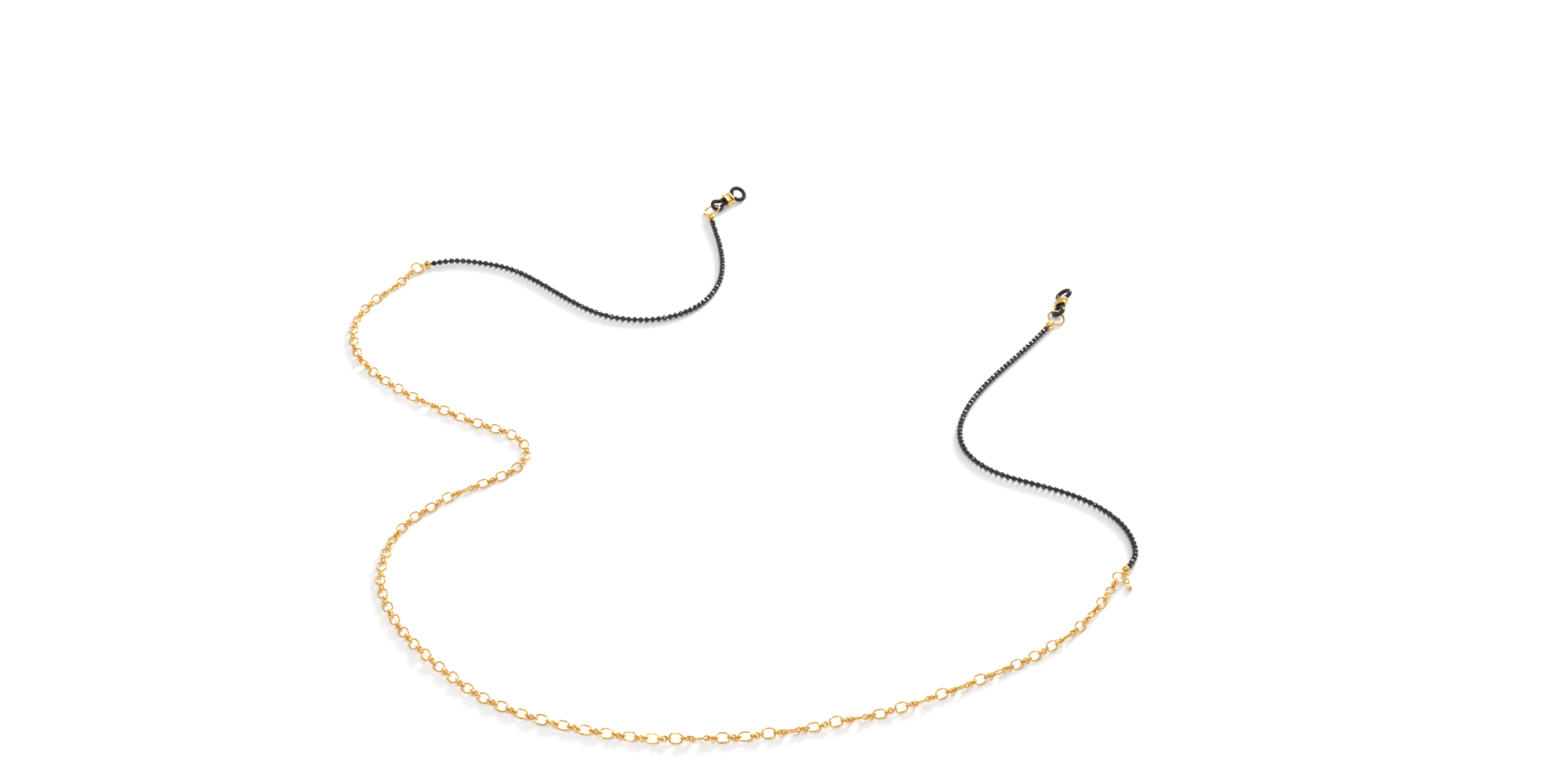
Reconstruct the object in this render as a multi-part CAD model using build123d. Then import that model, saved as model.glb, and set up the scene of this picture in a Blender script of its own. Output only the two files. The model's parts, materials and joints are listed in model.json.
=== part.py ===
from build123d import *
import math
import os

# Eyeglasses chain strap, laid out on a flat surface. Millimetres, +Z up.
# The origin is the middle of the strap's footprint, on the surface it lies on.
# +X runs towards the right temple loop, +Y from the chain's bottom bow to the loops.

# ---------------------------------------------------------------- chain
LARGE_LENGTH = 4.35         # long oval link, outside
LARGE_WIDTH = 3.25
SMALL_LENGTH = 2.15         # short round-ended link, outside
SMALL_WIDTH = 1.85
LINK_WIRE = 0.5
SEGMENTS = 15               # stretches of chain that bend as one body each
LARGE_PER_SEGMENT = 5
SMALL_PER_LARGE = 3
FIRST_SMALL = 5             # small links between the left chain ring and the first large link
TIGHT_PLAY = 0.03           # gap left in each link joint where the chain is drawn out
DRAWN_OUT = 0.24            # the drawn-out stretch, as a share of the chain from its left end
QUARTER_TURN = 90           # from each link to the next
SLACK_RANGE = (-0.2, 0.4)   # where the slack stretches' gap per joint is looked for
SLACK_HALVINGS = 40

# ---------------------------------------------------------------- bead strands
BEADS = 81                  # on each strand
BEAD_DIAMETER = 2.0
BEAD_LENGTH = 1.92          # along its hole
BEAD_HOLE = 0.7
THREAD_DIAMETER = 0.4
BEND_SHARE = 0.45           # of the shorter run beside it that each bend takes up

# ---------------------------------------------------------------- bead tips and rings
TIP_DIAMETER = 2.7          # folded ball that hides the crimped end of the thread
TIP_WALL = 0.25
SEAM_DEPTH = 0.06           # groove where the ball's two cups meet
TIP_MOUTH = 0.9             # hole that the thread enters by
TIP_EYE_WIRE = 0.45
TIP_EYE_RADIUS = 0.8        # to the middle of the wire
TIP_EYE_SINK = 0.205        # how deep the eye's wire is set into the ball
TIP_DIP = 0.1               # how far the thread drops at the strand's first corner
BEAD_TURN = 137.5           # each bead is turned this much more than the one before
CRIMP_DIAMETER = 1.1
CRIMP_LENGTH = 1.2
CRIMP_SQUEEZE = 0.02        # how far the crimp bites into the thread, all round
CRIMP_BACK = 0.15           # from the ball's middle back to the crimp's
CHAIN_RING_RADIUS = 2.0     # to the middle of the wire
CHAIN_RING_WIRE = 0.55
JUMP_RING_RADIUS = 2.825
JUMP_RING_WIRE = 0.65
PLAY = 0.04
LOOP_PLAY = 0.4             # between a jump ring and its rubber loop
LEFT_RING_RISE = 0.04       # slope of the jump rings, whose far ends lie on the rubber
RIGHT_RING_RISE = 0.09
LOOP_RISE = 0.012

# ---------------------------------------------------------------- rubber temple loops
CORD_DIAMETER = 1.45
STRAND_OFFSET = 0.75        # from the sleeve's middle to each of its two strands
STRAIGHT_HALF = 2.2         # half of the straight stretch that the sleeve slides on
TEMPLE_RADIUS = 2.4         # loop that grips the temple tip, to the middle of the cord
TEMPLE_SHOULDER = 1.0       # bend from the straight stretch into that loop
HANGER_RADIUS = 1.7         # loop that hangs in the jump ring
HANGER_SHOULDER = 4.0
SLEEVE_LENGTH = 3.2
SLEEVE_CLEARANCE = 0.04
SLEEVE_WALL = 0.45
SLEEVE_RIM = 0.35           # how far each flared rim stands out
SLEEVE_RIM_LENGTH = 0.7
SLEEVE_ROUNDING = 0.12

# ---------------------------------------------------------------- tag
TAG_RING_RADIUS = 1.0
TAG_RING_WIRE = 0.35
TAG_RING_OUT = 0.35         # from the chain ring's wire out to the tag ring's middle
TAG_LENGTH = 4.2
TAG_WIDTH = 1.6
TAG_THICKNESS = 0.4
TAG_HOLE = 0.95
TAG_RIM = 0.3               # metal left round the hole
TAG_DROP = 30               # where on its ring the tag hangs, in degrees below level
TAG_SLIP = 0.2              # from the ring's wire to the middle of the tag's hole
TAG_RING_LIFT = 0.03        # of the tag's ring over the surface

# Route of the chain between the eyes of the two lower bead tips.
CHAIN_ROUTE = [
    (-106.6, 94.4), (-110, 88), (-117, 78), (-122, 66.5), (-122.2, 53.5), (-118, 41.5),
    (-109.5, 30), (-99.7, 21), (-88.5, 13), (-76, 5.2), (-65, -1), (-60.2, -8), (-61.5, -16.5),
    (-68, -23.5), (-78, -30), (-87.5, -38.5), (-95, -48), (-99, -59.5), (-99.8, -72), (-97, -85),
    (-91.5, -97), (-84, -108), (-75, -118.5), (-65, -128), (-53, -135.5), (-40.5, -140.5),
    (-27.5, -144), (-14, -146), (-0.5, -146), (13, -144.8), (26.5, -142), (39, -138.5),
    (51.5, -134.5), (63.5, -129), (74.5, -122.8), (85.5, -116), (96, -109), (105.5, -100.5),
    (113, -90.5), (118.8, -80.5), (121.2, -75.6),
]

# Corners of the bead strands' routes, from the upper bead tip to the lower one.
LEFT_STRAND = [
    (-4.1, 129.2), (-2.8, 122), (-0.6, 111.5), (0.6, 98), (-0.8, 85.5), (-6.6, 73.6), (-17.5, 66),
    (-29.5, 64.8), (-41, 68.4), (-51.5, 77.2), (-61.5, 87.6), (-72.5, 97.2), (-84.5, 101.2),
    (-94.6, 102), (-101.6, 99),
]
RIGHT_STRAND = [
    (110.7, 61.2), (106.8, 55), (101, 46.6), (93.4, 36), (86.3, 25.4), (80.4, 13.6), (77.2, 0.6),
    (79.2, -11), (86.8, -20.4), (97.6, -25.8), (109.6, -31), (119.6, -38.4), (126.6, -48.6),
    (128.8, -59.2), (127.6, -65.8), (124.7, -70.4),
]

# The end fittings, from the upper bead tip outwards: heading in degrees from +X, how far the
# fitting's plane leans from the surface, and its slope.
JUMP_RING_LEAN = 22
LEFT_END = {"ring": (82, JUMP_RING_LEAN, LEFT_RING_RISE), "loop": (46, -32, LOOP_RISE)}
RIGHT_END = {"ring": (58, -JUMP_RING_LEAN, RIGHT_RING_RISE), "loop": (76, 32, LOOP_RISE)}
LEFT_RING_ROLL = 28
RIGHT_RING_ROLL = -13
EYE_ROLLS = {               # each eye stands square to the ring in it
    "left_upper": JUMP_RING_LEAN + 90,
    "right_upper": -JUMP_RING_LEAN + 90,
    "left_lower": LEFT_RING_ROLL + 90,
    "right_lower": -RIGHT_RING_ROLL + 90,
}
LEFT_RING_HEIGHT = 1.35     # of the chain ring's joint with the chain
RIGHT_RING_HEIGHT = 1.5     # higher, as the tag's ring lies under it
TAG_HEADING = -86
TAG_ROLL = 30

# How far the large links' faces lean to the front, in degrees: most of them, and the few
# that lie turned away.
FRONT_LEAN = 26
OPEN_LEAN = 48
AWAY_LEAN = -34
OPEN_LINKS = {2, 18, 25, 38, 51, 55, 58, 61, 63, 65, 69, 73}
AWAY_LINKS = {1, 4, 8, 13, 24, 29, 52, 56, 59, 62, 64, 66, 70, 72, 74}
LEAN_SPREAD = 9             # how much neighbours of one kind differ
LEAN_RHYTHM = 2.4
LEAN_TURN = 1.6             # how fast the lean changes sides where the chain turns back
ROUTE_SPREAD = 0.1          # how far the joints stand off the smooth route
ROUTE_RHYTHM = 1.9
STEADY_JOINTS = 5           # joints at both ends that stay on the route

UP = Vector(0, 0, 1)


def leaning_plane(origin, along, roll):
    """Plane with its x axis along a direction and its normal rolled away from upright."""
    along = along.normalized()
    side = UP.cross(along).normalized()
    upright = along.cross(side)
    angle = math.radians(roll)
    return Plane(origin, x_dir=along, z_dir=upright * math.cos(angle) + side * math.sin(angle))


def place(shape, plane):
    return shape.moved(plane.location)


def heading(angle):
    return Vector(math.cos(math.radians(angle)), math.sin(math.radians(angle)), 0)


def write(name, *solids):
    """One STEP file, holding one node's separate solids."""
    export_step(Compound(list(solids)), os.path.join("parts", name + ".step"))


# ---------------------------------------------------------------- pieces in their own frames
def swept(path, diameter):
    """Round wire along a path in the XY plane."""
    start = Plane(path @ 0, z_dir=path % 0)
    return sweep(start * Circle(diameter / 2), path=path).solid()


def stadium_link(length, width, wire):
    """Oval link in the XY plane: two half rings joined by straight sides, long way along X."""
    radius = (width - wire) / 2
    straight = (length - width) / 2
    edges = [
        Line((-straight, radius), (straight, radius)),
        ThreePointArc((straight, radius), (straight + radius, 0), (straight, -radius)),
        Line((straight, -radius), (-straight, -radius)),
        ThreePointArc((-straight, -radius), (-straight - radius, 0), (-straight, radius)),
    ]
    return swept(Wire(edges), wire)


def ring(radius, wire):
    return Torus(radius, wire / 2).solid()


def bead():
    """Round bead with its hole along X and a small flat at each mouth."""
    body = Sphere(BEAD_DIAMETER / 2) & Box(BEAD_LENGTH, BEAD_DIAMETER, BEAD_DIAMETER)
    return (body - Plane.YZ * Cylinder(BEAD_HOLE / 2, BEAD_DIAMETER)).solid()


def tip_eye_centre():
    """From the ball's middle to the middle of its wire eye."""
    return TIP_DIAMETER / 2 + TIP_EYE_RADIUS - TIP_EYE_SINK


def ball(radius):
    """Sphere with its seam away from the mouth and the eye, where a cut along it would fail."""
    return Rot(0, 0, 90) * Sphere(radius)


def bead_tip():
    """Hollow folded ball: thread mouth at -X, wire eye at +X, and the fold's seam all round."""
    outer = TIP_DIAMETER / 2
    mouth = Pos(-outer, 0, 0) * (Plane.YZ * Cylinder(TIP_MOUTH / 2, outer))
    eye = Pos(tip_eye_centre(), 0, 0) * Torus(TIP_EYE_RADIUS, TIP_EYE_WIRE / 2)
    seam = Rot(0, 0, 90) * Torus(outer, SEAM_DEPTH)
    return (ball(outer) + eye - ball(outer - TIP_WALL) - mouth - seam).solid()


def crimp():
    """Short tube squeezed on the thread's end, its hole along X."""
    bore = THREAD_DIAMETER / 2 - CRIMP_SQUEEZE
    tube = Cylinder(CRIMP_DIAMETER / 2, CRIMP_LENGTH) - Cylinder(bore, CRIMP_LENGTH)
    return (Plane.YZ * tube).solid()


def shoulder_run(loop_radius, shoulder):
    """Along the loop's axis, from the end of the straight stretch to the loop's centre."""
    reach = loop_radius + shoulder
    return math.sqrt(reach**2 - (STRAND_OFFSET + shoulder) ** 2)


def temple_loop():
    """Closed rubber cord pinched into two loops: the temple tip's at +X, the ring's at -X."""
    temple_x = STRAIGHT_HALF + shoulder_run(TEMPLE_RADIUS, TEMPLE_SHOULDER)
    hanger_x = -STRAIGHT_HALF - shoulder_run(HANGER_RADIUS, HANGER_SHOULDER)

    def touch(loop_x, loop_radius, start_x, shoulder, side):
        """Where a shoulder arc meets its loop."""
        shoulder_centre = Vector(start_x, side * (STRAND_OFFSET + shoulder))
        loop_centre = Vector(loop_x, 0)
        return loop_centre + (shoulder_centre - loop_centre).normalized() * loop_radius

    temple_up = touch(temple_x, TEMPLE_RADIUS, STRAIGHT_HALF, TEMPLE_SHOULDER, 1)
    temple_down = touch(temple_x, TEMPLE_RADIUS, STRAIGHT_HALF, TEMPLE_SHOULDER, -1)
    hanger_up = touch(hanger_x, HANGER_RADIUS, -STRAIGHT_HALF, HANGER_SHOULDER, 1)
    hanger_down = touch(hanger_x, HANGER_RADIUS, -STRAIGHT_HALF, HANGER_SHOULDER, -1)
    upper_left = Vector(-STRAIGHT_HALF, STRAND_OFFSET)
    upper_right = Vector(STRAIGHT_HALF, STRAND_OFFSET)
    lower_left = Vector(-STRAIGHT_HALF, -STRAND_OFFSET)
    lower_right = Vector(STRAIGHT_HALF, -STRAND_OFFSET)
    edges = [
        Line(upper_left, upper_right),
        JernArc(upper_right, (1, 0), TEMPLE_SHOULDER, turn_to(temple_up, temple_x, 0)),
        ThreePointArc(temple_up, (temple_x + TEMPLE_RADIUS, 0), temple_down),
        JernArc(lower_right, (1, 0), TEMPLE_SHOULDER, -turn_to(temple_up, temple_x, 0)),
        Line(lower_right, lower_left),
        JernArc(lower_left, (-1, 0), HANGER_SHOULDER, turn_to(hanger_up, hanger_x, 180)),
        ThreePointArc(hanger_down, (hanger_x - HANGER_RADIUS, 0), hanger_up),
        JernArc(upper_left, (-1, 0), HANGER_SHOULDER, -turn_to(hanger_up, hanger_x, 180)),
    ]
    return swept(Wire(edges), CORD_DIAMETER)


def turn_to(point, loop_x, facing):
    """How far a shoulder arc turns before it meets its loop, in degrees."""
    from_centre = math.degrees(math.atan2(point.Y, point.X - loop_x))
    if facing == 180:
        return 90 - from_centre
    return from_centre - 90


def sleeve():
    """Flat oval tube with flared rims, sliding on the two cord strands along X."""
    half_height = CORD_DIAMETER / 2 + SLEEVE_CLEARANCE
    reach = 2 * STRAND_OFFSET

    def oval(grow, length, x):
        section = SlotCenterToCenter(reach, 2 * (half_height + grow))
        return Pos(x, 0, 0) * (Plane.YZ * extrude(section, length / 2, both=True))

    rim_x = (SLEEVE_LENGTH - SLEEVE_RIM_LENGTH) / 2
    body = oval(SLEEVE_WALL, SLEEVE_LENGTH, 0)
    for x in (-rim_x, rim_x):
        body += oval(SLEEVE_WALL + SLEEVE_RIM, SLEEVE_RIM_LENGTH, x)
    end_edges = [e for e in body.edges() if abs(e.center().X) > SLEEVE_LENGTH / 2 - SLEEVE_ROUNDING]
    body = fillet(end_edges, SLEEVE_ROUNDING)
    return (body - oval(0, SLEEVE_LENGTH + 1, 0)).solid()


def tag():
    """Plain petal-shaped drop, its hole at the origin and its tip towards +X."""
    eye = TAG_HOLE / 2 + TAG_RIM
    far_circle = Pos(TAG_LENGTH - eye - TAG_WIDTH / 2, 0) * Circle(TAG_WIDTH / 2)
    outline = make_hull((Circle(eye) + far_circle).edges())
    plate = extrude(outline - Circle(TAG_HOLE / 2), TAG_THICKNESS / 2, both=True)
    return plate.solid()


# ---------------------------------------------------------------- bead strands
def strand_height(points, index):
    """The thread rises from the bead's middle to the ball's middle at both ends."""
    last = len(points) - 1
    if index in (0, last):
        return TIP_DIAMETER / 2
    if index in (1, last - 1):
        return TIP_DIAMETER / 2 - TIP_DIP
    return BEAD_DIAMETER / 2


def strand_path(points):
    """Straight runs joined by arcs, each as large as its two runs allow, and the radii."""
    corners = [Vector(x, y, strand_height(points, i)) for i, (x, y) in enumerate(points)]
    runs = [b - a for a, b in zip(corners, corners[1:])]
    radii = []
    for before, after in zip(runs, runs[1:]):
        half_turn = math.radians(before.get_angle(after)) / 2
        radii.append(BEND_SHARE * min(before.length, after.length) / math.tan(half_turn))
    return FilletPolyline(*corners, radius=radii), radii


def strand(side, points):
    """Thread, beads, bead tips and crimps of one strand, and its two end directions."""
    path, radii = strand_path(points)
    thread = swept(path, THREAD_DIAMETER)
    section = math.pi * THREAD_DIAMETER**2 / 4
    print(side, "strand length", round(path.length, 2), "bead pitch", end=" ")
    first = TIP_DIAMETER / 2 + BEAD_LENGTH / 2
    pitch = (path.length - 2 * first) / (BEADS - 1)
    print(round(pitch, 3), "least radius", round(min(radii), 1), end=" ")
    print("radii", [round(r) for r in radii], end=" ")
    print("volume ratio", round(thread.volume / (section * path.length), 4))
    pattern = bead()
    beads = []
    for number in range(BEADS):
        share = (first + number * pitch) / path.length
        beads.append(place(pattern, leaning_plane(path @ share, path % share, BEAD_TURN * number)))
    write(side + "_thread", thread)
    write(side + "_beads", *beads)
    ends = {}
    for name, share, sign in (("upper", 0, -1), ("lower", 1, 1)):
        out = (path % share) * sign
        centre = path @ share
        level = Vector(out.X, out.Y, 0).normalized()
        end = side + "_" + name
        eye_plane = leaning_plane(centre, level, EYE_ROLLS[end])
        write(end + "_bead_tip", place(bead_tip(), eye_plane))
        crimp_centre = centre - out * CRIMP_BACK
        write(end + "_crimp", place(crimp(), leaning_plane(crimp_centre, out, 0)))
        ends[name] = (centre, level)
    return ends


# ---------------------------------------------------------------- loop ends
def loop_end(side, tip, lay):
    """Jump ring, rubber temple loop and sleeve, outwards from an upper bead tip."""
    tip_centre, tip_out = tip
    ring_heading, ring_roll, ring_rise = lay["ring"]
    loop_heading, loop_roll, loop_rise = lay["loop"]
    eye_far = tip_eye_centre() + TIP_EYE_RADIUS
    ring_near = tip_centre + tip_out * (eye_far - (TIP_EYE_WIRE + JUMP_RING_WIRE) / 2 - PLAY)
    ring_out = (heading(ring_heading) + UP * ring_rise).normalized()
    ring_centre = ring_near + ring_out * JUMP_RING_RADIUS
    ring_plane = leaning_plane(ring_centre, ring_out, ring_roll)
    loop_along = (heading(loop_heading) + UP * loop_rise).normalized()
    pull = loop_along - ring_plane.z_dir * loop_along.dot(ring_plane.z_dir)
    ring_far = ring_centre + pull.normalized() * JUMP_RING_RADIUS
    hanger_x = STRAIGHT_HALF + shoulder_run(HANGER_RADIUS, HANGER_SHOULDER) + HANGER_RADIUS
    grip = (JUMP_RING_WIRE + CORD_DIAMETER) / 2 + LOOP_PLAY
    sleeve_centre = ring_far + loop_along * (hanger_x - grip)
    loop_plane = leaning_plane(sleeve_centre, loop_along, loop_roll)
    write(side + "_jump_ring", place(ring(JUMP_RING_RADIUS, JUMP_RING_WIRE), ring_plane))
    write(side + "_temple_loop", place(temple_loop(), loop_plane))
    write(side + "_loop_sleeve", place(sleeve(), loop_plane))
    temple_x = STRAIGHT_HALF + shoulder_run(TEMPLE_RADIUS, TEMPLE_SHOULDER)
    temple_centre = loop_plane.from_local_coords(Vector(temple_x, 0, 0))
    report(side + "_jump_ring_swing", ring_near)
    report(side + "_temple_loop_swing", ring_far)
    report(side + "_temple_loop_hanger", sleeve_centre - loop_along * hanger_x)
    report(side + "_sleeve_slide", loop_along)
    report(side + "_temple_opening", temple_centre)
    report(side + "_temple_axis", loop_plane.z_dir)


def report(name, v):
    """Prints a joint's place or direction."""
    print("AT", name, round(v.X, 4), round(v.Y, 4), round(v.Z, 4))


# ---------------------------------------------------------------- chain
def large_roll(index, along):
    """Roll that leans a large link's face to the front, whichever way the chain runs."""
    lean = FRONT_LEAN
    if index in OPEN_LINKS:
        lean = OPEN_LEAN
    if index in AWAY_LINKS:
        lean = AWAY_LEAN
    lean += LEAN_SPREAD * math.sin(LEAN_RHYTHM * index)
    return -lean * max(-1, min(1, LEAN_TURN * along.X))


def chain_items():
    """Every item between the two lower bead tips: (kind, segment)."""
    items = [("ring", 0)] + [("small", 1)] * FIRST_SMALL
    for index in range(SEGMENTS * LARGE_PER_SEGMENT):
        segment = index // LARGE_PER_SEGMENT + 1
        items += [("large", segment)] + [("small", segment)] * SMALL_PER_LARGE
    return items + [("ring", SEGMENTS + 1)]


def item_rolls(items, points):
    """Roll of each item: rings and large links have set rolls, and small links turn between."""
    anchors = [number for number, (kind, _) in enumerate(items) if kind != "small"]
    set_rolls = [LEFT_RING_ROLL]
    for index, number in enumerate(anchors[1:-1]):
        along = (points[number + 1] - points[number]).normalized()
        set_rolls.append(large_roll(index, along))
    set_rolls.append(RIGHT_RING_ROLL)
    rolls = []
    for number in range(len(anchors) - 1):
        count = anchors[number + 1] - anchors[number]
        here, after = set_rolls[number:number + 2]
        step = QUARTER_TURN + (after - here) / count
        rolls += [here + k * step for k in range(count)]
    return rolls + [RIGHT_RING_ROLL]


def item_size(kind):
    """Length between wire middles, the wire, and half the width between wire middles."""
    if kind == "large":
        return LARGE_LENGTH - LINK_WIRE, LINK_WIRE, (LARGE_WIDTH - LINK_WIRE) / 2
    if kind == "small":
        return SMALL_LENGTH - LINK_WIRE, LINK_WIRE, (SMALL_WIDTH - LINK_WIRE) / 2
    return 2 * CHAIN_RING_RADIUS, CHAIN_RING_WIRE, CHAIN_RING_RADIUS


def resting_height(kind, roll):
    """How high a leaning item's middle lies over the surface."""
    _, wire, half = item_size(kind)
    return half * abs(math.sin(math.radians(roll))) + wire / 2


def joint_stations(items, length):
    """Distance of each joint along the route, with the slack shared out past its first stretch."""
    full = [item_size(kind)[0] - item_size(kind)[1] for kind, _ in items]

    def lay(slack_play):
        stations = [0.0]
        for span in full:
            tight = stations[-1] < DRAWN_OUT * length
            stations.append(stations[-1] + span - (TIGHT_PLAY if tight else slack_play))
        return stations

    low, high = SLACK_RANGE
    for _ in range(SLACK_HALVINGS):
        middle = (low + high) / 2
        if lay(middle)[-1] > length:
            low = middle
        else:
            high = middle
    print("chain route", round(length, 2), "play in the slack stretches", round(high, 4))
    stations = lay(high)
    return [station * length / stations[-1] for station in stations]


def eye_joint(tip):
    """Where a chain ring bears on a bead tip's eye, on the flat."""
    centre, out = tip
    reach = tip_eye_centre() + TIP_EYE_RADIUS - TIP_EYE_WIRE / 2 - PLAY / 2
    return centre + out * reach


def chain(left_tip, right_tip):
    ends = [eye_joint(left_tip), eye_joint(right_tip)]
    middle = [Vector(x, y, 0) for x, y in CHAIN_ROUTE]
    route = Spline(Vector(ends[0].X, ends[0].Y, 0), *middle, Vector(ends[1].X, ends[1].Y, 0))
    items = chain_items()
    stations = joint_stations(items, route.length)
    points = [route @ (station / route.length) for station in stations]
    rolls = item_rolls(items, points)
    lowest = resting_height("small", 90)
    set_heights = {
        0: TIP_DIAMETER / 2,
        1: LEFT_RING_HEIGHT,
        len(items) - 1: RIGHT_RING_HEIGHT,
        len(items): TIP_DIAMETER / 2,
    }
    joints = []
    for number, point in enumerate(points):
        beside = range(max(number - 1, 0), min(number + 1, len(items)))
        rests = [resting_height("large", rolls[i]) for i in beside if items[i][0] == "large"]
        height = set_heights.get(number, max([lowest] + rests))
        sway = 0
        if STEADY_JOINTS <= number < len(points) - STEADY_JOINTS:
            sway = ROUTE_SPREAD * math.sin(ROUTE_RHYTHM * number)
        side = UP.cross(route % (stations[number] / route.length))
        joints.append(Vector(point.X, point.Y, 0) + side * sway + UP * height)
    level_small_joints(items, joints)
    nodes = {}
    patterns = {
        "large": stadium_link(LARGE_LENGTH, LARGE_WIDTH, LINK_WIRE),
        "small": stadium_link(SMALL_LENGTH, SMALL_WIDTH, LINK_WIRE),
        "ring": ring(CHAIN_RING_RADIUS, CHAIN_RING_WIRE),
    }
    for (kind, segment), roll, a, b in zip(items, rolls, joints, joints[1:]):
        plane = leaning_plane((a + b) / 2, b - a, roll)
        if kind == "ring":
            name = ("left" if segment == 0 else "right") + "_chain_ring"
        else:
            name = "chain_%02d_%s_links" % (segment, kind)
        nodes.setdefault(name, []).append(place(patterns[kind], plane))
    for name, solids in nodes.items():
        write(name, *solids)
    report_chain(items, joints)
    return joints


def level_small_joints(items, joints):
    """Between two large links the joints climb evenly from one height to the other."""
    fixed = [i for i in range(len(joints))
             if any(kind != "small" for kind, _ in items[max(i - 1, 0):i + 1])]
    for a, b in zip(fixed, fixed[1:]):
        for i in range(a + 1, b):
            share = (i - a) / (b - a)
            height = joints[a].Z * (1 - share) + joints[b].Z * share
            joints[i] = Vector(joints[i].X, joints[i].Y, height)


def report_chain(items, joints):
    for number in range(1, len(items)):
        before, after = items[number - 1], items[number]
        if before[1] != after[1]:
            report("chain_joint_%02d_%02d" % (before[1], after[1]), joints[number])
    report("left_strand_swing", joints[0])
    report("right_strand_swing", joints[-1])


def right_tag(joints):
    """Small plain drop on its own ring, hooked on the low side of the right chain ring."""
    ring_a, ring_b = joints[-2], joints[-1]
    plane = leaning_plane((ring_a + ring_b) / 2, ring_b - ring_a, RIGHT_RING_ROLL)
    hook = plane.origin - plane.y_dir * CHAIN_RING_RADIUS
    outward = Vector(-plane.y_dir.X, -plane.y_dir.Y, 0).normalized()
    centre = hook + outward * TAG_RING_OUT
    centre = Vector(centre.X, centre.Y, TAG_RING_RADIUS + TAG_RING_WIRE / 2 + TAG_RING_LIFT)
    write("tag_ring", place(ring(TAG_RING_RADIUS, TAG_RING_WIRE), leaning_plane(centre, outward, 90)))
    drop = math.radians(TAG_DROP)
    wire = centre + (outward * math.cos(drop) - UP * math.sin(drop)) * TAG_RING_RADIUS
    wire_run = outward * math.sin(drop) + UP * math.cos(drop)
    along = heading(TAG_HEADING)
    hole = wire + along * TAG_SLIP
    write("tag", place(tag(), leaning_plane(hole, along, TAG_ROLL)))
    report("tag_ring_swing", hook)
    report("tag_ring_axis", plane.x_dir)
    report("tag_swing", wire)
    report("tag_axis", wire_run)


def main():
    os.makedirs("parts", exist_ok=True)
    left = strand("left", LEFT_STRAND)
    right = strand("right", RIGHT_STRAND)
    loop_end("left", left["upper"], LEFT_END)
    loop_end("right", right["upper"], RIGHT_END)
    joints = chain(left["lower"], right["lower"])
    right_tag(joints)


main()
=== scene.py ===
import bpy
import bmesh
import json
import math
import numpy as np
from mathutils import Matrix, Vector

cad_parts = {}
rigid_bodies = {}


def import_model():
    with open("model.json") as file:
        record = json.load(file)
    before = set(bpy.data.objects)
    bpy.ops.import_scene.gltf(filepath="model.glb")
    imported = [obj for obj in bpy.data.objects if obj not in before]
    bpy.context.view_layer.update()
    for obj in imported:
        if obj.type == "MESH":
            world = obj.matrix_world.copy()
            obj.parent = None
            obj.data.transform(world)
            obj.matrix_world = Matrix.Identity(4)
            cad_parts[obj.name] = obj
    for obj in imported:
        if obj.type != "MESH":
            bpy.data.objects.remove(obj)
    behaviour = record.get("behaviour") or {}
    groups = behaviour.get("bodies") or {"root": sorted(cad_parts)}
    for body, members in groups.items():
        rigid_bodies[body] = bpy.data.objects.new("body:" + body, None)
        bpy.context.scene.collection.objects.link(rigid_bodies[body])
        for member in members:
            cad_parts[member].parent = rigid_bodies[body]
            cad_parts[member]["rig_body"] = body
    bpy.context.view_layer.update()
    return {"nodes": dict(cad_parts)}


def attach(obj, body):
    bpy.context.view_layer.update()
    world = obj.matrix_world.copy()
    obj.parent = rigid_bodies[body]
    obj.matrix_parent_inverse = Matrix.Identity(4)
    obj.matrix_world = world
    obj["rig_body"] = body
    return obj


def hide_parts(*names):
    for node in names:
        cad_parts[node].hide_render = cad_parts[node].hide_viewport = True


# Eyeglasses chain strap: link chain, two bead strands, rubber temple loops. Metres, CAD frame.

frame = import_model()

MM = 0.001
REFERENCE = np.array([1.0, 0.31, 0.07])     # settles which way round a symmetric piece is laid

# ---------------------------------------------------------------- sizes, in millimetres
LINK_WIRE = 0.5
LARGE_LINK = (4.35, 3.25)
SMALL_LINK = (2.15, 1.85)
BUTT_PINCH = 0.09               # how much thinner a link is where its two ends meet
BUTT_SHARE = 0.012              # how far that neck reaches, as a share of the link's wire
CHAIN_RING = (2.0, 0.55)        # radius to the middle of the wire, wire
JUMP_RING = (2.825, 0.65)
TAG_RING = (1.0, 0.35)
RING_CUTS = {                   # which way the chain rings' and the jump rings' cuts face
    "left": ((-1, 1, 0), (-1, 0, 0)),
    "right": ((-1, 0.7, 0), (-1, 0.6, 0)),
}
RING_GAP = 0.07                 # between the two cut ends of a ring
RING_END = 0.82                 # the cut ends are broken down to this share of the wire
THREAD_DIAMETER = 0.4
BEADS = 81
BEAD_SIDES = 9
BEAD_LENGTH = 1.86
BEAD_RADIUS = 0.995
BEAD_BAND = (0.58, 0.81)        # along the hole and out from it, where two bands of facets meet
BEAD_EDGE = 0.035               # how far the edges between facets are broken
BEAD_SEAT = 0.96                # from a bead tip's ball to the middle of the first bead
BEAD_MOUTH = 0.42               # radius of the flat at each end of the hole
BEAD_HOLE = 0.62
BEAD_TURN = 137.5               # each bead is turned this much more than the one before
TIP_RADIUS = 1.35
TIP_WALL = 0.25
TIP_MOUTH = 0.45
TIP_SEAM = (0.06, 0.05)         # depth and half width of the fold's groove
TIP_EYE = (0.8, 0.45)           # radius to the middle of the wire, wire
TIP_EYE_CENTRE = 1.945
EYE_TURNS = (-178, 124)         # where the hook's wire leaves the ball and where it ends, degrees
EYE_STEP = 0.07                 # between rows along the hook
EYE_BLUNT = 0.12                # share of the wire's section left at its rounded tip
CORD_DIAMETER = 1.45
STRAND_OFFSET = 0.75
STRAIGHT_HALF = 2.2
TEMPLE_RADIUS = 2.4
TEMPLE_SHOULDER = 1.0
HANGER_RADIUS = 1.7
HANGER_SHOULDER = 4.0
SLEEVE_BORE = 0.765             # half height of the sleeve's opening
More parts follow.
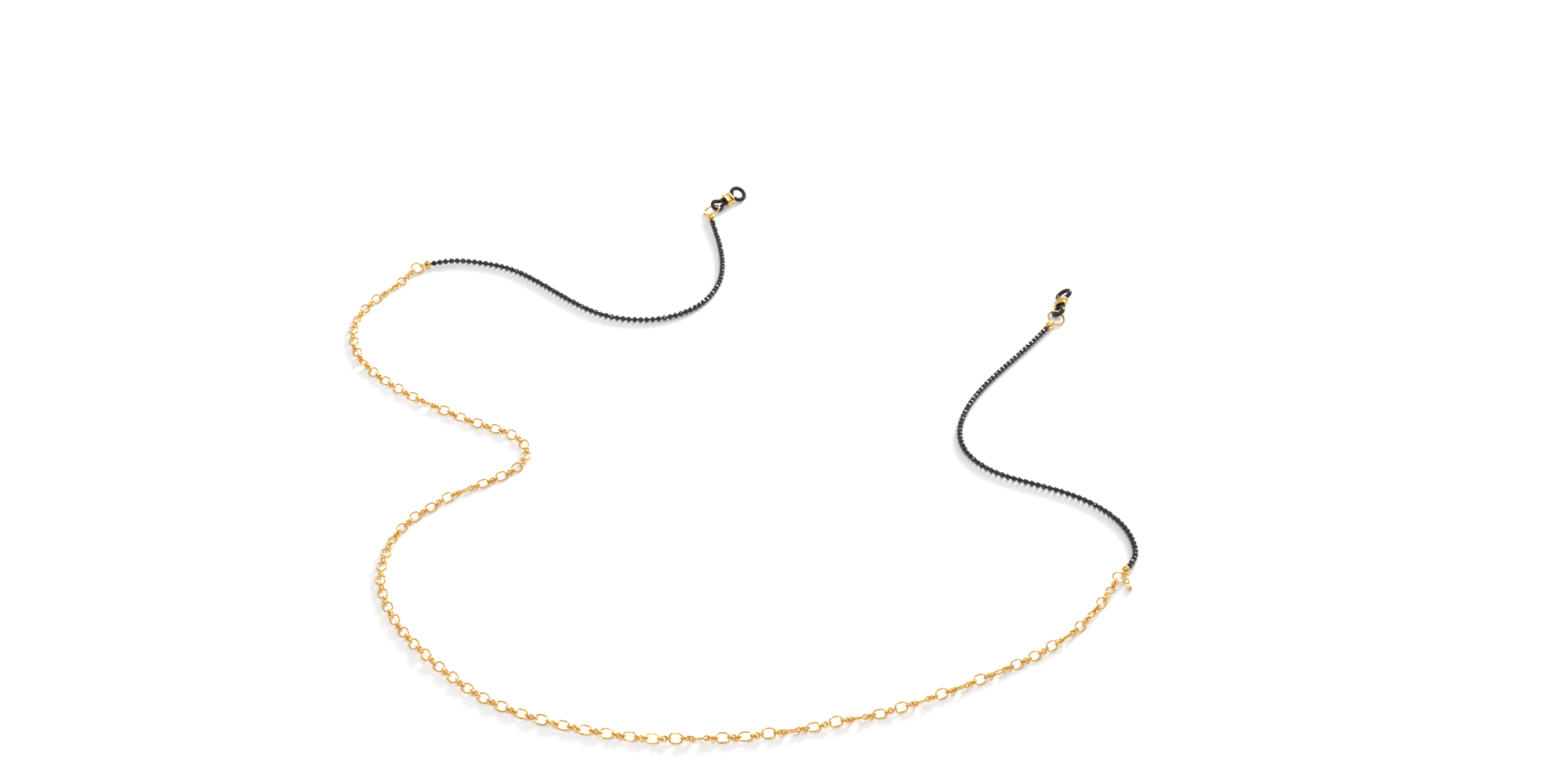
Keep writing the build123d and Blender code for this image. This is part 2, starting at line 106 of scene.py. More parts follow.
SLEEVE_BORE_HALF = 1.2          # half length of its plain stretch
SLEEVE_PROFILE = [              # from the middle to the rim: along, and out from the bore
    (0.0, 0.45), (0.07, 0.44), (0.13, 0.40), (0.19, 0.39), (0.25, 0.40), (0.31, 0.44),
    (0.38, 0.45), (0.45, 0.44), (0.51, 0.40), (0.57, 0.39), (0.63, 0.41), (0.72, 0.47),
    (0.84, 0.60), (0.95, 0.72), (1.06, 0.785), (1.18, 0.80), (1.34, 0.795), (1.46, 0.75),
    (1.54, 0.66), (1.585, 0.52), (1.6, 0.36), (1.595, 0.18), (1.56, 0.06), (1.48, 0.0),
]
TAG_LENGTH = 4.2
TAG_WIDTH = 1.6
TAG_EYE = 0.775
TAG_HOLE = 0.475
TAG_PROFILE = [                 # from the hole's edge to the rim: share of the way, half thickness
    (0.0, 0.12), (0.03, 0.17), (0.10, 0.195), (0.3, 0.2), (0.6, 0.2), (0.8, 0.185),
    (0.92, 0.15), (0.98, 0.09), (1.0, 0.0),
]

FLOOR_HALF = 3.0                # metres
FLOOR_GAP = 0.00002             # keeps the floor clear of what lies on it
CAMERA_PLACE = (0.0216, -0.8048, 0.5861)
CAMERA_PITCH = 35.25            # degrees below level
CAMERA_LENS = 71.4

# Corners of the bead strands' routes, from the upper bead tip to the lower one, in metres.
LEFT_STRAND = [
    (-0.0041, 0.1292, 0.00135), (-0.0028, 0.122, 0.00125), (-0.0006, 0.1115, 0.001),
    (0.0006, 0.098, 0.001), (-0.0008, 0.0855, 0.001), (-0.0066, 0.0736, 0.001),
    (-0.0175, 0.066, 0.001), (-0.0295, 0.0648, 0.001), (-0.041, 0.0684, 0.001),
    (-0.0515, 0.0772, 0.001), (-0.0615, 0.0876, 0.001), (-0.0725, 0.0972, 0.001),
    (-0.0845, 0.1012, 0.001), (-0.0946, 0.102, 0.00125), (-0.1016, 0.099, 0.00135),
]
RIGHT_STRAND = [
    (0.1107, 0.0612, 0.00135), (0.1068, 0.055, 0.00125), (0.101, 0.0466, 0.001),
    (0.0934, 0.036, 0.001), (0.0863, 0.0254, 0.001), (0.0804, 0.0136, 0.001),
    (0.0772, 0.0006, 0.001), (0.0792, -0.011, 0.001), (0.0868, -0.0204, 0.001),
    (0.0976, -0.0258, 0.001), (0.1096, -0.031, 0.001), (0.1196, -0.0384, 0.001),
    (0.1266, -0.0486, 0.001), (0.1288, -0.0592, 0.001), (0.1276, -0.0658, 0.00125),
    (0.1247, -0.0704, 0.00135),
]


# ---------------------------------------------------------------- materials
def new_material(name):
    material = bpy.data.materials.new(name)
    material.use_nodes = True
    nodes = material.node_tree.nodes
    return material, nodes, material.node_tree.links, nodes["Principled BSDF"]


def noise(nodes, links, scale, detail=3.0, roughness=0.5):
    """Noise in the object's own space, so it doesn't need UVs. Scale is in features per metre."""
    place = nodes.new("ShaderNodeTexCoord")
    texture = nodes.new("ShaderNodeTexNoise")
    texture.inputs["Scale"].default_value = scale
    texture.inputs["Detail"].default_value = detail
    texture.inputs["Roughness"].default_value = roughness
    links.new(place.outputs["Object"], texture.inputs["Vector"])
    return texture.outputs["Fac"]


def ramp(nodes, links, factor, stops):
    node = nodes.new("ShaderNodeValToRGB")
    elements = node.color_ramp.elements
    while len(elements) < len(stops):
        elements.new(0.5)
    for element, (position, colour) in zip(elements, stops):
        element.position = position
        element.color = (*colour, 1.0)
    links.new(factor, node.inputs["Fac"])
    return node.outputs["Color"]


def grey(value):
    return (value, value, value)


def bump(nodes, links, height, shader, strength, distance):
    node = nodes.new("ShaderNodeBump")
    node.inputs["Strength"].default_value = strength
    node.inputs["Distance"].default_value = distance
    links.new(height, node.inputs["Height"])
    links.new(node.outputs["Normal"], shader.inputs["Normal"])


def gold(name, tone, rough):
    """Polished gold-coloured plating: tone that drifts a little, fine polish lines and pits."""
    material, nodes, links, shader = new_material(name)
    drift = noise(nodes, links, 420.0, 4.0)
    deeper = (tone[0] * 0.9, tone[1] * 0.82, tone[2] * 0.7)
    colour = ramp(nodes, links, drift, [(0.35, deeper), (0.62, tone)])
    links.new(colour, shader.inputs["Base Color"])
    shader.inputs["Metallic"].default_value = 1.0
    polish = noise(nodes, links, 2600.0, 5.0, 0.6)
    roughness = ramp(nodes, links, polish, [(0.3, grey(rough * 0.7)), (0.75, grey(rough * 1.5))])
    links.new(roughness, shader.inputs["Roughness"])
    bump(nodes, links, polish, shader, 0.12, 0.00002)
    return material


def stone(name):
    """Near-black polished bead with brown depth and a faint clouding of its polish."""
    material, nodes, links, shader = new_material(name)
    cloud = noise(nodes, links, 900.0, 4.0, 0.6)
    stops = [(0.3, (0.003, 0.002, 0.0015)), (0.75, (0.014, 0.008, 0.006))]
    links.new(ramp(nodes, links, cloud, stops), shader.inputs["Base Color"])
    grain = noise(nodes, links, 5200.0, 3.0)
    roughness = ramp(nodes, links, grain, [(0.3, grey(0.08)), (0.8, grey(0.2))])
    links.new(roughness, shader.inputs["Roughness"])
    shader.inputs["IOR"].default_value = 1.52
    shader.inputs["Specular IOR Level"].default_value = 1.0
    shader.inputs["Specular Tint"].default_value = (1.0, 0.88, 0.8, 1.0)
    return material


def rubber(name):
    """Black satin rubber with a fine moulded skin."""
    material, nodes, links, shader = new_material(name)
    cloud = noise(nodes, links, 260.0, 3.0)
    colour = ramp(nodes, links, cloud, [(0.3, (0.012, 0.0105, 0.009)), (0.75, (0.026, 0.022, 0.019))])
    links.new(colour, shader.inputs["Base Color"])
    skin = noise(nodes, links, 7000.0, 4.0, 0.65)
    roughness = ramp(nodes, links, skin, [(0.25, grey(0.34)), (0.8, grey(0.52))])
    links.new(roughness, shader.inputs["Roughness"])
    shader.inputs["Specular IOR Level"].default_value = 0.4
    bump(nodes, links, skin, shader, 0.3, 0.00003)
    return material


def thread_material(name):
    """Twisted black nylon."""
    material, nodes, links, shader = new_material(name)
    fibre = noise(nodes, links, 6000.0, 2.0)
    colour = ramp(nodes, links, fibre, [(0.3, grey(0.008)), (0.8, grey(0.03))])
    links.new(colour, shader.inputs["Base Color"])
    roughness = ramp(nodes, links, fibre, [(0.3, grey(0.5)), (0.8, grey(0.75))])
    links.new(roughness, shader.inputs["Roughness"])
    bump(nodes, links, fibre, shader, 0.5, 0.00004)
    return material


def floor_material(name):
    """White paper, lit a little from below as on a light table."""
    material, nodes, links, shader = new_material(name)
    paper = noise(nodes, links, 900.0, 4.0)
    colour = ramp(nodes, links, paper, [(0.3, grey(0.87)), (0.7, grey(0.89))])
    links.new(colour, shader.inputs["Base Color"])
    shader.inputs["Roughness"].default_value = 0.65
    shader.inputs["Emission Color"].default_value = (1.0, 1.0, 1.0, 1.0)
    shader.inputs["Emission Strength"].default_value = 0.16
    return material


GOLD_CHAIN = gold("gold_chain", (1.0, 0.64, 0.2), 0.15)
GOLD_FITTING = gold("gold_fitting", (1.0, 0.66, 0.23), 0.11)
CRIMP = gold("crimp", (0.7, 0.48, 0.2), 0.32)
STONE = stone("black_bead")
RUBBER = rubber("black_rubber")
THREAD = thread_material("black_thread")


# ---------------------------------------------------------------- mesh building
def shown(name, vertices, faces, material, smooth=True):
    mesh = bpy.data.meshes.new(name)
    mesh.from_pydata([tuple(v) for v in vertices], [], faces)
    mesh.materials.append(material)
    if smooth:
        mesh.polygons.foreach_set("use_smooth", [True] * len(mesh.polygons))
    mesh.validate()
    thing = bpy.data.objects.new(name, mesh)
    bpy.context.scene.collection.objects.link(thing)
    return thing


def belt(rows, closed_rows):
    """Faces between rows of equally many points; each row is itself a closed loop."""
    count = len(rows[0])
    total = len(rows)
    faces = []
    for i in range(total if closed_rows else total - 1):
        j = (i + 1) % total
        for k in range(count):
            n = (k + 1) % count
            faces.append((i * count + k, j * count + k, j * count + n, i * count + n))
    return faces


def circle(radius, count, start=0.0):
    turns = np.linspace(0, 2 * math.pi, count, endpoint=False) + start
    return np.stack([radius * np.cos(turns), radius * np.sin(turns)], axis=1)


def planar_tube(path, closed, section):
    """Tube round a path in the XY plane, whose section may change with the share of the way."""
    path = np.asarray(path, float)
    if closed:
        along = np.roll(path, -1, axis=0) - np.roll(path, 1, axis=0)
    else:
        along = np.gradient(path, axis=0)
    along /= np.linalg.norm(along, axis=1)[:, None]
    rows = []
    for number, (point, run) in enumerate(zip(path, along)):
        shape = section(number / len(path))
        across = np.outer(shape[:, 0], (run[1], -run[0], 0))
        rows.append(point + across + np.outer(shape[:, 1], (0, 0, 1)))
    return rows


def capped(rows):
    """Vertices and faces of an open tube with flat ends."""
    count = len(rows[0])
    last = (len(rows) - 1) * count
    faces = belt(rows, False)
    faces.append(tuple(range(count)))
    faces.append(tuple(last + k for k in reversed(range(count))))
    return np.concatenate(rows), faces


def arc(centre, radius, start, end, spacing=0.12):
    """Points along an arc in the XY plane, angles in degrees, without its last point."""
    count = max(4, math.ceil(abs(math.radians(end - start)) * radius / spacing))
    turns = np.radians(np.linspace(start, end, count, endpoint=False))
    x = centre[0] + radius * np.cos(turns)
    y = centre[1] + radius * np.sin(turns)
    return np.stack([x, y, np.zeros(count)], axis=1)


def straight(start, end, count=24):
    """Evenly spaced points along a line in the XY plane, without its last point."""
    shares = np.linspace(0, 1, count, endpoint=False)[:, None]
    line = np.asarray(start) * (1 - shares) + np.asarray(end) * shares
    return np.concatenate([line, np.zeros((count, 1))], axis=1)


def link_template(size, wire_count, spacing):
    """Oval link of round wire, with a faint neck where its two ends are butted together."""
    length, width = size
    radius = (width - LINK_WIRE) / 2
    half = (length - width) / 2
    path = np.concatenate([
        straight((-half, radius), (half, radius), 6),
        arc((half, 0), radius, 90, -90, spacing),
        straight((half, -radius), (-half, -radius), 6),
        arc((-half, 0), radius, 270, 90, spacing),
    ])

    def section(share):
        away = abs((share + 0.5) % 1 - 0.5)
        neck = 1 - BUTT_PINCH * math.exp(-(away / BUTT_SHARE) ** 2)
        return circle(LINK_WIRE / 2 * neck, wire_count)

    rows = planar_tube(path, True, section)
    return np.concatenate(rows), belt(rows, True)


def ring_template(size, wire_count, spacing):
    """Ring of round wire, cut across at +X, with its two ends butted almost shut."""
    radius, wire = size
    gap = math.degrees(RING_GAP / radius)
    end = math.radians(-gap / 2)
    last = [[radius * math.cos(end), radius * math.sin(end), 0]]
    path = np.concatenate([arc((0, 0), radius, gap / 2, 360 - gap / 2, spacing), last])
    rows = planar_tube(path, False, lambda share: circle(wire / 2, wire_count))
    inset = (1 - RING_END) * wire / 4
    caps = []
    for row, middle, way in ((rows[0], path[0], -1), (rows[-1], path[-1], 1)):
        cap = middle + (row - middle) * RING_END
        cap[:, 1] += way * inset
        caps.append(cap)
    return capped([caps[0]] + rows + [caps[1]])


def shell_turns():
    """Angles round the ball, close together beside its seam at 0 and 180 degrees."""
    close = [0.0, 0.6, 1.2, 1.9, 2.7, 3.8, 5.5, 8.5]
    even = list(np.linspace(13, 167, 17))
    half = close + even + [180 - angle for angle in reversed(close[1:])]
    return np.radians(half + [180 + angle for angle in half])


def tip_ball():
    """Hollow ball pressed from two cups: thread mouth at -X, the cups' seam in the XY plane."""
    turns = shell_turns()
    lip = math.degrees(math.asin(TIP_MOUTH / TIP_RADIUS))
    depth, half_width = TIP_SEAM

    def shell_row(radius, angle, seam):
        x = -radius * math.cos(math.radians(angle))
        reach = radius * math.sin(math.radians(angle))
        row = np.stack([np.full(len(turns), x), reach * np.cos(turns), reach * np.sin(turns)], axis=1)
        pinch = depth * np.exp(-(row[:, 2] / half_width) ** 2) * seam
        return row * (1 - pinch / radius)[:, None]

    rows = [shell_row(TIP_RADIUS - TIP_WALL, angle, 0) for angle in np.linspace(176, lip + 7, 14)]
    rows.append(shell_row(TIP_RADIUS - TIP_WALL / 2, lip + 1, 0))
    rows.append(shell_row(TIP_RADIUS - 0.03, lip + 0.8, 0.5))
    rows += [shell_row(TIP_RADIUS, angle, 1) for angle in np.linspace(lip + 2.5, 176, 40)]
    return capped(rows)


def tip_hook():
    """The ball's wire eye: a hook bent round in the XY plane until it nearly meets the ball."""
    radius, wire = TIP_EYE
    path = arc((TIP_EYE_CENTRE, 0), radius, *EYE_TURNS, EYE_STEP)
    count = len(path)

    def section(share):
        left = (1 - share) * count * EYE_STEP
        taper = math.sqrt(max(EYE_BLUNT, 1 - max(0, 1 - left / (wire / 2)) ** 2))
        return circle(wire / 2 * taper, 20)

    return capped(planar_tube(path, False, section))


def joined(*shapes):
    """Several sets of vertices and faces as one."""
    vertices, faces, start = [], [], 0
    for shape, shape_faces in shapes:
        vertices.append(shape)
        faces.extend(tuple(start + k for k in face) for face in shape_faces)
        start += len(shape)
    return np.concatenate(vertices), faces


def shoulder_run(loop_radius, shoulder):
    """Along the loop's axis, from the end of the straight stretch to the loop's centre."""
    return math.sqrt((loop_radius + shoulder) ** 2 - (STRAND_OFFSET + shoulder) ** 2)


def temple_loop_template():
    """Closed rubber cord pinched into two loops, the temple's at +X and the ring's at -X."""
    temple_x = STRAIGHT_HALF + shoulder_run(TEMPLE_RADIUS, TEMPLE_SHOULDER)
    hanger_x = -STRAIGHT_HALF - shoulder_run(HANGER_RADIUS, HANGER_SHOULDER)
    temple_meet = math.degrees(math.atan2(STRAND_OFFSET + TEMPLE_SHOULDER, STRAIGHT_HALF - temple_x))
    hanger_meet = math.degrees(math.atan2(STRAND_OFFSET + HANGER_SHOULDER, -STRAIGHT_HALF - hanger_x))
    upper = np.concatenate([
        arc((hanger_x, 0), HANGER_RADIUS, 180, hanger_meet),
        arc((-STRAIGHT_HALF, STRAND_OFFSET + HANGER_SHOULDER), HANGER_SHOULDER, hanger_meet + 180, 270),
        straight((-STRAIGHT_HALF, STRAND_OFFSET), (STRAIGHT_HALF, STRAND_OFFSET)),
        arc((STRAIGHT_HALF, STRAND_OFFSET + TEMPLE_SHOULDER), TEMPLE_SHOULDER, -90, temple_meet - 180),
        arc((temple_x, 0), TEMPLE_RADIUS, temple_meet, 0),
    ])
    far = np.array([[temple_x + TEMPLE_RADIUS, 0, 0]])
    lower = upper[:0:-1] * (1, -1, 1)
    path = np.concatenate([upper, far, lower])
    rows = planar_tube(path, True, lambda share: circle(CORD_DIAMETER / 2, 28))
    return np.concatenate(rows), belt(rows, True)


def sleeve_template():
    """Short oval spool with two flared rims and fine beads round its waist."""
    outer = [(-x, out) for x, out in reversed(SLEEVE_PROFILE[1:])] + SLEEVE_PROFILE
    bore = [(x, 0.0) for x in np.linspace(SLEEVE_BORE_HALF, -SLEEVE_BORE_HALF, 5)]
    rows = [slot_row(x, SLEEVE_BORE + out) for x, out in outer + bore]
    return np.concatenate(rows), belt(rows, True)


def slot_row(x, radius, each=36):
    """Points round a slot that stands across X, equally many on each of its two arcs."""
    row = []
    for side, start in ((1, -90), (-1, 90)):
        for angle in np.radians(np.linspace(start, start + 180, each)):
            row.append((x, side * STRAND_OFFSET + radius * math.cos(angle), radius * math.sin(angle)))
    return np.array(row)


def tag_template():
    """Plain petal with a rounded rim and a hole at the origin, its broad end towards +X."""
    far_radius = TAG_WIDTH / 2
    far_x = TAG_LENGTH - TAG_EYE - far_radius
    lean = math.degrees(math.asin((far_radius - TAG_EYE) / far_x))
    outline = np.concatenate([
        arc((far_x, 0), far_radius, -90 - lean, 90 + lean, 0.1),
        straight((far_x, far_radius), (0, TAG_EYE), 14)[1:],
        arc((0, 0), TAG_EYE, 90 + lean, 270 - lean, 0.1),
        straight((0, -TAG_EYE), (far_x, -far_radius), 14)[1:],
    ])
    hole = outline / np.linalg.norm(outline, axis=1)[:, None] * TAG_HOLE
    rows = []
    for sign, profile in ((1, TAG_PROFILE), (-1, TAG_PROFILE[-2::-1])):
        for share, height in profile:
            row = hole + (outline - hole) * share
            row[:, 2] = sign * height
            rows.append(row)
    return np.concatenate(rows), belt(rows, True)


# ---------------------------------------------------------------- places read from the CAD frame
def triangles(node):
    """Corner points of the node's triangles, in millimetres."""
    mesh = frame["nodes"][node].data
    mesh.calc_loop_triangles()
    points = np.zeros(len(mesh.vertices) * 3)
    mesh.vertices.foreach_get("co", points)
    corners = np.zeros(len(mesh.loop_triangles) * 3, int)
    mesh.loop_triangles.foreach_get("vertices", corners)
    return points.reshape(-1, 3)[corners.reshape(-1, 3)] / MM


def solids(node):
    """The node's separate solids, each as its triangles' corner points."""
    corners = triangles(node)
    keys = np.round(corners.reshape(-1, 3) * 2000).astype(np.int64)
    _, index = np.unique(keys, axis=0, return_inverse=True)
    index = index.reshape(-1, 3)
    parent = list(range(int(index.max()) + 1))

    def find(a):
        while parent[a] != a:
            parent[a] = parent[parent[a]]
            a = parent[a]
        return a

    for a, b, c in index:
        parent[find(a)] = find(b)
        parent[find(b)] = find(c)
    roots = np.array([find(a) for a in index[:, 0]])
    return [corners[roots == root] for root in sorted(set(roots.tolist()))]


def lay_of(corners):
    """Middle and axes of a solid: longest first, thinnest last, as columns."""
    sides = np.cross(corners[:, 1] - corners[:, 0], corners[:, 2] - corners[:, 0])
    area = np.linalg.norm(sides, axis=1)
    middles = corners.mean(axis=1)
    centre = (middles * area[:, None]).sum(axis=0) / area.sum()
    offset = middles - centre
    spread = (offset * area[:, None]).T @ offset
    _, axes = np.linalg.eigh(spread)
    x = axes[:, 2] if axes[:, 2] @ REFERENCE >= 0 else -axes[:, 2]
    z = axes[:, 0] if axes[2, 0] >= 0 else -axes[:, 0]
    heavy = (area * (offset @ x) ** 3).sum()
    return centre, np.stack([x, np.cross(z, x), z], axis=1), heavy


def link_lays(node):
    """Lays for links, which are the same from both ends."""
    return [lay_of(solid)[:2] for solid in solids(node)]


def ring_lays(node, cut):
    """Lays for rings, with their cut turned as far as it goes towards a direction."""
    lays = []
    for solid in solids(node):
        centre, axes, _ = lay_of(solid)
        normal = axes[:, 2]
        x = np.asarray(cut, float) - normal * (normal @ np.asarray(cut, float))
        x /= np.linalg.norm(x)
        lays.append((centre, np.stack([x, np.cross(normal, x), normal], axis=1)))
    return lays


def matched_lays(node, template):
    """Lays that put a template where the node's solid is, heavy end to heavy end."""
    vertices, faces = template
    corners = [[vertices[face[0]], vertices[face[k]], vertices[face[k + 1]]]
               for face in faces for k in range(1, len(face) - 1)]
    own_centre, own_axes, own_heavy = lay_of(np.array(corners))
    lays = []
    for solid in solids(node):
        centre, axes, heavy = lay_of(solid)
        if heavy * own_heavy < 0:
            axes = axes * (-1, -1, 1)
        turn = axes @ own_axes.T
        lays.append((centre - turn @ own_centre, turn))
    return lays


def laid(template, lays):
    """Copies of a template at each lay, as one set of vertices and faces, in metres."""
    shape, shape_faces = template
    vertices, faces = [], []
    for number, (centre, axes) in enumerate(lays):
        start = number * len(shape)
        vertices.append((shape @ axes.T + centre) * MM)
        faces.extend(tuple(start + k for k in face) for face in shape_faces)
    return np.concatenate(vertices), faces


def stand_in(name, node, template, lays, material):
    """A piece that replaces a CAD node, one copy of the template at each lay."""
    vertices, faces = laid(template, lays)
    piece = shown(name, vertices, faces, material)
    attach(piece, frame["nodes"][node]["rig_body"])
    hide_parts(node)
    return piece


# ---------------------------------------------------------------- camera and floor
def make_camera():
    data = bpy.data.cameras.new("camera")
    data.lens = CAMERA_LENS
    data.sensor_width = 36.0
    data.clip_start = 0.01
    camera = bpy.data.objects.new("camera", data)
    camera.location = CAMERA_PLACE
    camera.rotation_euler = (math.radians(90 - CAMERA_PITCH), 0, 0)
    bpy.context.scene.collection.objects.link(camera)
    bpy.context.scene.camera = camera


def make_floor():
    half, depth = FLOOR_HALF, -FLOOR_GAP
    corners = [(-half, -half, depth), (half, -half, depth), (half, half, depth), (-half, half, depth)]
    floor = shown("floor", corners, [(0, 1, 2, 3)], floor_material("floor_paper"), smooth=False)


# ---------------------------------------------------------------- bead strands
def curve_line(points):
    """The strand's line as Blender draws it: NURBS control points to a fine run of points."""
    data = bpy.data.curves.new("strand_line", "CURVE")
    data.dimensions = "3D"
    data.resolution_u = 24
    fill_spline(data, points)
    line = bpy.data.objects.new("strand_line", data)
    bpy.context.scene.collection.objects.link(line)
    mesh = bpy.data.meshes.new_from_object(line)
    run = np.array([v.co for v in mesh.vertices], float)
    bpy.data.objects.remove(line)
    bpy.data.meshes.remove(mesh)
    return run


def fill_spline(data, points):
    spline = data.splines.new("NURBS")
    spline.points.add(len(points) - 1)
    for point, place in zip(spline.points, points):
        point.co = (*place, 1.0)
    spline.order_u = 3
    spline.use_endpoint_u = True


def bead_template():
    """Round bead cut with bands of small facets, its hole along X, edges just broken."""
    half = BEAD_LENGTH / 2
    band, reach = BEAD_BAND
    rings = [(-half, BEAD_MOUTH), (-band, reach), (0.0, BEAD_RADIUS), (band, reach), (half, BEAD_MOUTH)]
    build = bmesh.new()
    rows = []
    for number, (x, radius) in enumerate(rings):
        spin = math.pi / BEAD_SIDES * (number % 2)
        rows.append([build.verts.new((x, *p)) for p in circle(radius, BEAD_SIDES, spin)])
    inner = [[build.verts.new((x, *p)) for p in circle(BEAD_HOLE / 2, BEAD_SIDES)] for x in (-half, half)]
    for number in range(len(rows) - 1):
        a, b = rows[number], rows[number + 1]
        for k in range(BEAD_SIDES):
            n = (k + 1) % BEAD_SIDES
            if number % 2:
                build.faces.new((a[k], b[n], b[k]))
                build.faces.new((a[k], a[n], b[n]))
            else:
                build.faces.new((a[k], a[n], b[k]))
                build.faces.new((a[n], b[n], b[k]))
    for k in range(BEAD_SIDES):
        n = (k + 1) % BEAD_SIDES
        build.faces.new((inner[0][k], inner[0][n], rows[0][n], rows[0][k]))
        build.faces.new((rows[-1][k], rows[-1][n], inner[1][n], inner[1][k]))
        build.faces.new((inner[0][n], inner[0][k], inner[1][k], inner[1][n]))
    bmesh.ops.recalc_face_normals(build, faces=build.faces)
    edges = [e for e in build.edges if e.is_manifold and e.calc_face_angle() > 0.1]
    bmesh.ops.bevel(build, geom=edges, offset=BEAD_EDGE, segments=1, affect="EDGES", profile=0.5)
    bmesh.ops.recalc_face_normals(build, faces=build.faces)
    build.verts.index_update()
    vertices = np.array([v.co for v in build.verts], float)
    faces = [tuple(v.index for v in face.verts) for face in build.faces]
    build.free()
    return vertices, faces


def along_run(run, distance):
    """Point and direction at a distance along a run of points, in metres."""
    steps = np.linalg.norm(np.diff(run, axis=0), axis=1)
    reach = np.concatenate([[0], np.cumsum(steps)])
    i = int(np.clip(np.searchsorted(reach, distance) - 1, 0, len(steps) - 1))
    direction = (run[i + 1] - run[i]) / steps[i]
    return run[i] + direction * (distance - reach[i]), direction


def make_strand(side, points):
    data = bpy.data.curves.new(side + "_thread_cord", "CURVE")
    data.dimensions = "3D"
    data.resolution_u = 12
    data.bevel_depth = THREAD_DIAMETER / 2 * MM
    data.bevel_resolution = 3
    data.use_fill_caps = True
    fill_spline(data, points)
    data.materials.append(THREAD)
    thread = bpy.data.objects.new(side + "_thread_cord", data)
    bpy.context.scene.collection.objects.link(thread)
    run = curve_line(points)
    length = float(np.linalg.norm(np.diff(run, axis=0), axis=1).sum())
    first = (TIP_RADIUS + BEAD_SEAT) * MM
    pitch = (length - 2 * first) / (BEADS - 1)
    lays = []
    for number in range(BEADS):
        place, direction = along_run(run, first + number * pitch)
        spin = math.radians(BEAD_TURN * number)
        side_way = np.cross((0, 0, 1), direction)
        side_way /= np.linalg.norm(side_way)
        upright = np.cross(direction, side_way)
        y = side_way * math.cos(spin) + upright * math.sin(spin)
        lays.append((place / MM, np.stack([direction, y, np.cross(direction, y)], axis=1)))
    vertices, faces = laid(BEAD, lays)
    beads = shown(side + "_faceted_beads", vertices, faces, STONE, smooth=False)
    body = side + "_strand"
    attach(beads, body)
    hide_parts(side + "_beads")
    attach(thread, body)
    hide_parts(side + "_thread")


# ---------------------------------------------------------------- chain and fittings
def make_chain():
    large = link_template(LARGE_LINK, 14, 0.2)
    small = link_template(SMALL_LINK, 14, 0.15)
    for node in sorted(frame["nodes"]):
        template = large if node.endswith("_large_links") else small
        if node.endswith(("_large_links", "_small_links")):
            name = node.replace("_links", "_ovals")
            stand_in(name, node, template, link_lays(node), GOLD_CHAIN)


def make_ring(node, size, cut):
    """A wire ring in place of a node, its cut away from what hangs in it."""
    template = ring_template(size, 20, 0.1)
    stand_in(node + "_wire", node, template, ring_lays(node, cut), GOLD_FITTING)


def make_fitting(name, node, template, material):
    stand_in(name, node, template, matched_lays(node, template), material)


def make_fittings():
    tip = joined(tip_ball(), tip_hook())
    loop = temple_loop_template()
    sleeve = sleeve_template()
    for side, (ring_cut, jump_cut) in RING_CUTS.items():
        make_ring(side + "_chain_ring", CHAIN_RING, ring_cut)
        make_ring(side + "_jump_ring", JUMP_RING, jump_cut)
        for end in ("upper", "lower"):
            node = side + "_" + end + "_bead_tip"
            make_fitting(node + "_clamshell", node, tip, GOLD_FITTING)
        make_fitting(side + "_rubber_loop", side + "_temple_loop", loop, RUBBER)
        make_fitting(side + "_flared_sleeve", side + "_loop_sleeve", sleeve, GOLD_FITTING)
    make_ring("tag_ring", TAG_RING, (0, 0, 1))
    make_fitting("petal_tag", "tag", tag_template(), GOLD_FITTING)


def finish_crimps():
    """The hidden crimps keep their CAD shape."""
    for node, thing in frame["nodes"].items():
        if node.endswith("_crimp"):
            thing.data.materials.clear()
            thing.data.materials.append(CRIMP)


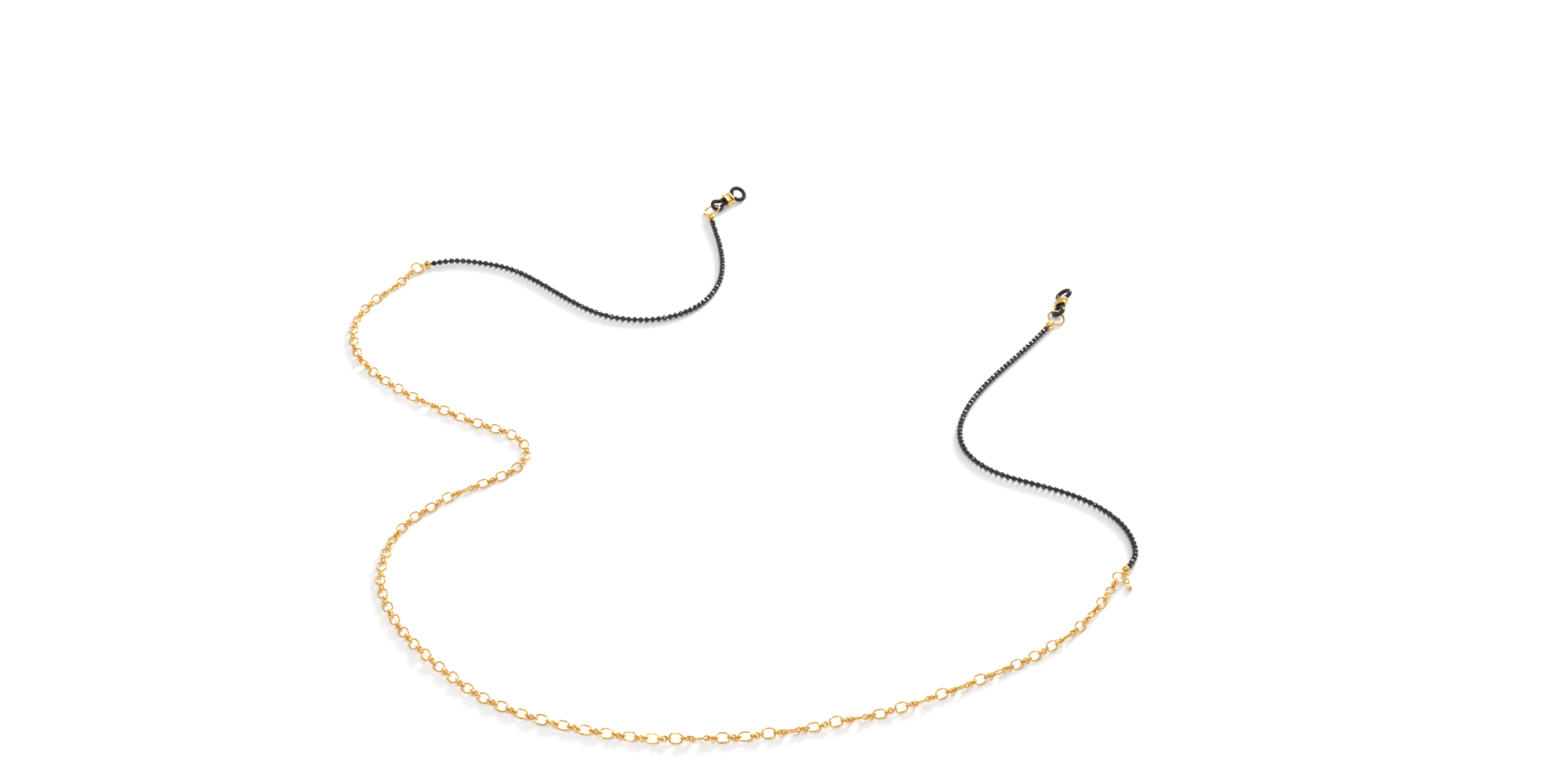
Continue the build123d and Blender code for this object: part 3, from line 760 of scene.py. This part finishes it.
# ---------------------------------------------------------------- light
WORLD_STRENGTH = 0.7
SKY_STOPS = [(0.02, grey(0.36)), (0.2, grey(0.5)), (0.36, grey(1.0))]
PATCH_WAY = (-0.3, -0.82, 0.5)
PATCH_STOPS = [(0.84, grey(1.0)), (0.93, grey(0.12))]
KEY_PLACE = (0.6, 1.1, 0.38)
KEY_SIZE = (0.5, 0.4)
KEY_POWER = 21
TOP_PLACE = (-0.15, -0.25, 0.95)
TOP_SIZE = (0.2, 0.2)
TOP_POWER = 1.7


def area_light(name, place, aim, size, power):
    data = bpy.data.lights.new(name, "AREA")
    data.shape = "RECTANGLE"
    data.size, data.size_y = size
    data.energy = power
    light = bpy.data.objects.new(name, data)
    light.location = place
    light.rotation_euler = (Vector(aim) - Vector(place)).to_track_quat("-Z", "Y").to_euler()
    bpy.context.scene.collection.objects.link(light)


def make_world():
    """White studio with a dim horizon and a dim patch on one side, which give metal its darks."""
    world = bpy.data.worlds.new("studio")
    world.use_nodes = True
    nodes, links = world.node_tree.nodes, world.node_tree.links
    way = nodes.new("ShaderNodeTexCoord").outputs["Generated"]
    split = nodes.new("ShaderNodeSeparateXYZ")
    links.new(way, split.inputs["Vector"])
    sky = ramp(nodes, links, split.outputs["Z"], SKY_STOPS)
    toward = nodes.new("ShaderNodeVectorMath")
    toward.operation = "DOT_PRODUCT"
    toward.inputs[1].default_value = Vector(PATCH_WAY).normalized()
    links.new(way, toward.inputs[0])
    patch = ramp(nodes, links, toward.outputs["Value"], PATCH_STOPS)
    both = nodes.new("ShaderNodeMix")
    both.data_type = "RGBA"
    both.blend_type = "MULTIPLY"
    both.inputs["Factor"].default_value = 1.0
    links.new(sky, both.inputs["A"])
    links.new(patch, both.inputs["B"])
    background = nodes["Background"]
    links.new(both.outputs["Result"], background.inputs["Color"])
    background.inputs["Strength"].default_value = WORLD_STRENGTH
    bpy.context.scene.world = world


def make_light():
    make_world()
    area_light("key", KEY_PLACE, (0, 0, 0), KEY_SIZE, KEY_POWER)
    area_light("top", TOP_PLACE, (0, 0, 0), TOP_SIZE, TOP_POWER)
    bpy.context.scene.view_settings.view_transform = "Standard"


BEAD = bead_template()
make_camera()
make_floor()
make_strand("left", LEFT_STRAND)
make_strand("right", RIGHT_STRAND)
make_chain()
make_fittings()
finish_crimps()
make_light()
